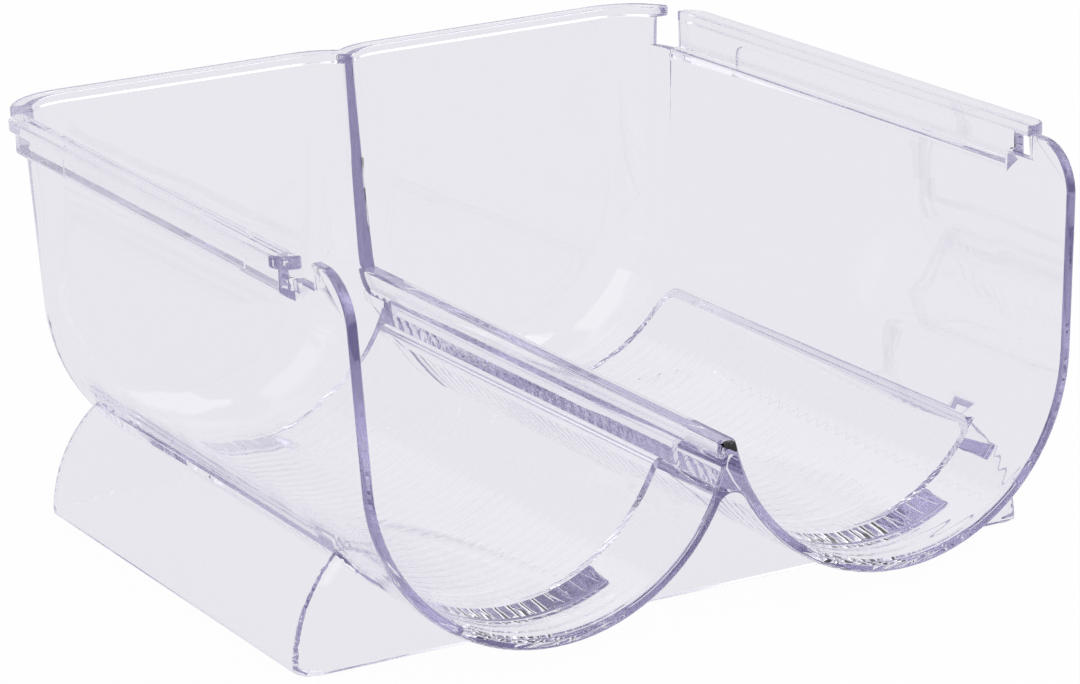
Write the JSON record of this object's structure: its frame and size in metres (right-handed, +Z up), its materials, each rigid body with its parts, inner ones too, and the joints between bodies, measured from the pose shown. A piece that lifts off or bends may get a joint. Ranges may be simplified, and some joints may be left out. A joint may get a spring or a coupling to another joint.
{
  "type": "bottle holder",
  "caption": "Clear moulded bottle holder: side-by-side round-bottomed bays on a skirt, open in front, with a back wall and stacking rails along the sides.",
  "frame": {"origin": "middle of the footprint, on the surface that the skirt stands on", "axes": "+X to the right across both bays, +Y from the open front to the back wall, +Z up"},
  "size_m": [0.2114, 0.2054, 0.1043],
  "materials": {
    "clear_plastic": "polished, transparent, faintly violet at the edges"
  },
  "bodies": {
    "root": {"bottle_holder": "clear_plastic"}
  },
  "joints": []
}
